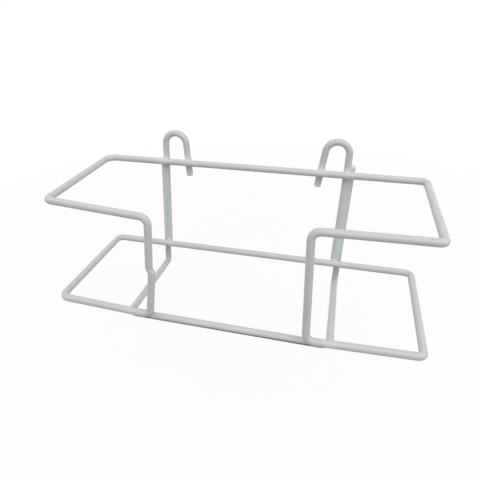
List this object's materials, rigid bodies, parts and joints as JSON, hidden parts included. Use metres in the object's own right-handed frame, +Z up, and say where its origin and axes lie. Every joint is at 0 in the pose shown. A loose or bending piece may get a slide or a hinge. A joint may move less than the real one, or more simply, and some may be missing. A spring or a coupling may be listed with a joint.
{
  "type": "glove carton holder",
  "caption": "Wall-hung coated wire basket that holds a carton of disposable gloves, with hanging loops at the back and an open front to pull gloves from.",
  "frame": {"origin": "on the wall plane, midway between the two hanging loops, at the height where the screws bear in their tops", "axes": "+X along the wall to the right as one faces the holder, +Y into the wall, +Z up"},
  "size_m": [0.2552, 0.1055, 0.1284],
  "materials": {
    "white_coating": "glossy white coating on round steel wire, a little thicker where wires meet"
  },
  "bodies": {
    "root": {"basket_wire": "white_coating", "left_hook_wire": "white_coating", "right_hook_wire": "white_coating", "brace_wire": "white_coating"}
  },
  "joints": []
}
